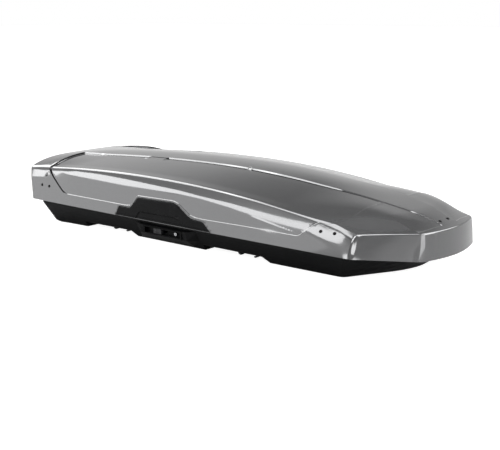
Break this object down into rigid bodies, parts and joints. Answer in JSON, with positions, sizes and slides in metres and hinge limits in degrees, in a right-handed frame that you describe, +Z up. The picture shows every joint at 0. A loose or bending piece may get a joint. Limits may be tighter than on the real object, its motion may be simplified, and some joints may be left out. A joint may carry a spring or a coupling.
{
  "type": "roof cargo box",
  "caption": "Long hard-shell roof cargo box with a glossy silver lid, black base, side latches, lifter arms and crossbar clamps; opens from either side.",
  "frame": {"origin": "on the ground plane under the middle of the box's bounding box", "axes": "+X to the nose (front of the car), +Y to the left side, +Z up"},
  "size_m": [2.32, 0.9496, 0.375],
  "materials": {
    "silver_gloss": "glossy silver metallic skin over ABS, fine flake",
    "black_plastic": "black ABS with a fine satin grain",
    "black_trim": "black moulded plastic, semi-matte",
    "grey_plastic": "dark grey moulded plastic",
    "plated_steel": "zinc-plated steel",
    "dark_metal": "black-coated steel",
    "chrome": "bright nickel"
  },
  "bodies": {
    "base": {"base_tub": "black_plastic", "left_floor_rail": "plated_steel", "left_lock_housing": "black_trim", "left_base_bracket_rear": "dark_metal", "left_lift_spring_rear": "plated_steel", "left_rear_clamp_housing": "black_trim", "left_base_bracket_front": "dark_metal", "left_lift_spring_front": "plated_steel", "left_front_clamp_housing": "black_trim", "right_floor_rail": "plated_steel", "right_lock_housing": "black_trim", "right_base_bracket_rear": "dark_metal", "right_lift_spring_rear": "plated_steel", "right_rear_clamp_housing": "black_trim", "right_base_bracket_front": "dark_metal", "right_lift_spring_front": "plated_steel", "right_front_clamp_housing": "black_trim"},
    "lid": {"lid_shell": "silver_gloss", "left_side_trim": "black_trim", "left_striker_rear": "plated_steel", "left_striker_middle": "plated_steel", "left_striker_front": "plated_steel", "left_lid_bracket_rear": "dark_metal", "left_lid_bracket_front": "dark_metal", "right_side_trim": "black_trim", "right_striker_rear": "plated_steel", "right_striker_middle": "plated_steel", "right_striker_front": "plated_steel", "right_lid_bracket_rear": "dark_metal", "right_lid_bracket_front": "dark_metal", "lid_rib_rear": "grey_plastic", "lid_rib_front": "grey_plastic"},
    "right_opening_arms": {"right_opening_arm_rear": "dark_metal", "right_opening_arm_front": "dark_metal"},
    "left_opening_arms": {"left_opening_arm_rear": "dark_metal", "left_opening_arm_front": "dark_metal"},
    "left_slide_handle": {"left_slide_handle": "grey_plastic"},
    "left_lock_cylinder": {"left_lock_cylinder": "chrome"},
    "left_latch_bar": {"left_latch_bar": "plated_steel"},
    "left_rear_clamp_knob": {"left_rear_clamp_knob": "grey_plastic"},
    "left_rear_clamp_jaw_front": {"left_rear_clamp_jaw_front": "dark_metal"},
    "left_rear_clamp_jaw_rear": {"left_rear_clamp_jaw_rear": "dark_metal"},
    "left_front_clamp_knob": {"left_front_clamp_knob": "grey_plastic"},
    "left_front_clamp_jaw_front": {"left_front_clamp_jaw_front": "dark_metal"},
    "left_front_clamp_jaw_rear": {"left_front_clamp_jaw_rear": "dark_metal"},
    "right_slide_handle": {"right_slide_handle": "grey_plastic"},
    "right_lock_cylinder": {"right_lock_cylinder": "chrome"},
    "right_latch_bar": {"right_latch_bar": "plated_steel"},
    "right_rear_clamp_knob": {"right_rear_clamp_knob": "grey_plastic"},
    "right_rear_clamp_jaw_front": {"right_rear_clamp_jaw_front": "dark_metal"},
    "right_rear_clamp_jaw_rear": {"right_rear_clamp_jaw_rear": "dark_metal"},
    "right_front_clamp_knob": {"right_front_clamp_knob": "grey_plastic"},
    "right_front_clamp_jaw_front": {"right_front_clamp_jaw_front": "dark_metal"},
    "right_front_clamp_jaw_rear": {"right_front_clamp_jaw_rear": "dark_metal"}
  },
  "joints": [
    {"name": "open_right_side", "type": "hinge", "parent": "base", "child": "right_opening_arms", "pos_m": [-0.93, 0.44, 0.14], "axis": [-1, 0, 0], "range_deg": [0, 45]},
    {"name": "open_left_side", "type": "hinge", "parent": "right_opening_arms", "child": "lid", "pos_m": [-0.93, -0.44, 0.14], "axis": [1, 0, 0], "range_deg": [0, 45]},
    {"name": "left_opening_arms_lift", "type": "hinge", "parent": "base", "child": "left_opening_arms", "pos_m": [-0.88, -0.44, 0.14], "axis": [1, 0, 0], "range_deg": [0, 45]},
    {"name": "left_handle_slide", "type": "slide", "parent": "base", "child": "left_slide_handle", "axis": [1, 0, 0], "range_m": [0, 0.02]},
    {"name": "left_latch_slide", "type": "slide", "parent": "base", "child": "left_latch_bar", "axis": [1, 0, 0], "range_m": [0, 0.02]},
    {"name": "left_lock_turn", "type": "hinge", "parent": "base", "child": "left_lock_cylinder", "pos_m": [-0.067, 0.431, 0.0665], "axis": [0, 1, 0], "range_deg": [0, 90]},
    {"name": "left_rear_clamp_jaw_front_slide", "type": "slide", "parent": "base", "child": "left_rear_clamp_jaw_front", "axis": [-1, 0, 0], "range_m": [0, 0.014]},
    {"name": "left_rear_clamp_jaw_rear_slide", "type": "slide", "parent": "base", "child": "left_rear_clamp_jaw_rear", "axis": [1, 0, 0], "range_m": [0, 0.014]},
    {"name": "left_rear_clamp_knob_turn", "type": "hinge", "parent": "base", "child": "left_rear_clamp_knob", "pos_m": [-0.5335, 0.34, 0.0704], "axis": [0, 0, 1], "range_deg": [0, 360]},
    {"name": "left_front_clamp_jaw_front_slide", "type": "slide", "parent": "base", "child": "left_front_clamp_jaw_front", "axis": [-1, 0, 0], "range_m": [0, 0.014]},
    {"name": "left_front_clamp_jaw_rear_slide", "type": "slide", "parent": "base", "child": "left_front_clamp_jaw_rear", "axis": [1, 0, 0], "range_m": [0, 0.014]},
    {"name": "left_front_clamp_knob_turn", "type": "hinge", "parent": "base", "child": "left_front_clamp_knob", "pos_m": [0.2975, 0.34, 0.0704], "axis": [0, 0, 1], "range_deg": [0, 360]},
    {"name": "right_handle_slide", "type": "slide", "parent": "base", "child": "right_slide_handle", "axis": [1, 0, 0], "range_m": [0, 0.02]},
    {"name": "right_latch_slide", "type": "slide", "parent": "base", "child": "right_latch_bar", "axis": [1, 0, 0], "range_m": [0, 0.02]},
    {"name": "right_lock_turn", "type": "hinge", "parent": "base", "child": "right_lock_cylinder", "pos_m": [-0.067, -0.431, 0.0665], "axis": [0, -1, 0], "range_deg": [0, 90]},
    {"name": "right_rear_clamp_jaw_front_slide", "type": "slide", "parent": "base", "child": "right_rear_clamp_jaw_front", "axis": [-1, 0, 0], "range_m": [0, 0.014]},
    {"name": "right_rear_clamp_jaw_rear_slide", "type": "slide", "parent": "base", "child": "right_rear_clamp_jaw_rear", "axis": [1, 0, 0], "range_m": [0, 0.014]},
    {"name": "right_rear_clamp_knob_turn", "type": "hinge", "parent": "base", "child": "right_rear_clamp_knob", "pos_m": [-0.5335, -0.34, 0.0704], "axis": [0, 0, 1], "range_deg": [0, 360]},
    {"name": "right_front_clamp_jaw_front_slide", "type": "slide", "parent": "base", "child": "right_front_clamp_jaw_front", "axis": [-1, 0, 0], "range_m": [0, 0.014]},
    {"name": "right_front_clamp_jaw_rear_slide", "type": "slide", "parent": "base", "child": "right_front_clamp_jaw_rear", "axis": [1, 0, 0], "range_m": [0, 0.014]},
    {"name": "right_front_clamp_knob_turn", "type": "hinge", "parent": "base", "child": "right_front_clamp_knob", "pos_m": [0.2975, -0.34, 0.0704], "axis": [0, 0, 1], "range_deg": [0, 360]}
  ],
  "couplings": [
    {"joint": "left_opening_arms_lift", "follows": "open_left_side", "ratio": 1},
    {"joint": "left_handle_slide", "follows": "left_latch_slide", "ratio": 1},
    {"joint": "left_rear_clamp_jaw_rear_slide", "follows": "left_rear_clamp_jaw_front_slide", "ratio": 1},
    {"joint": "left_rear_clamp_knob_turn", "follows": "left_rear_clamp_jaw_front_slide", "rad_per_m": 448.79},
    {"joint": "left_front_clamp_jaw_rear_slide", "follows": "left_front_clamp_jaw_front_slide", "ratio": 1},
    {"joint": "left_front_clamp_knob_turn", "follows": "left_front_clamp_jaw_front_slide", "rad_per_m": 448.79},
    {"joint": "right_handle_slide", "follows": "right_latch_slide", "ratio": 1},
    {"joint": "right_rear_clamp_jaw_rear_slide", "follows": "right_rear_clamp_jaw_front_slide", "ratio": 1},
    {"joint": "right_rear_clamp_knob_turn", "follows": "right_rear_clamp_jaw_front_slide", "rad_per_m": 448.79},
    {"joint": "right_front_clamp_jaw_rear_slide", "follows": "right_front_clamp_jaw_front_slide", "ratio": 1},
    {"joint": "right_front_clamp_knob_turn", "follows": "right_front_clamp_jaw_front_slide", "rad_per_m": 448.79}
  ]
}
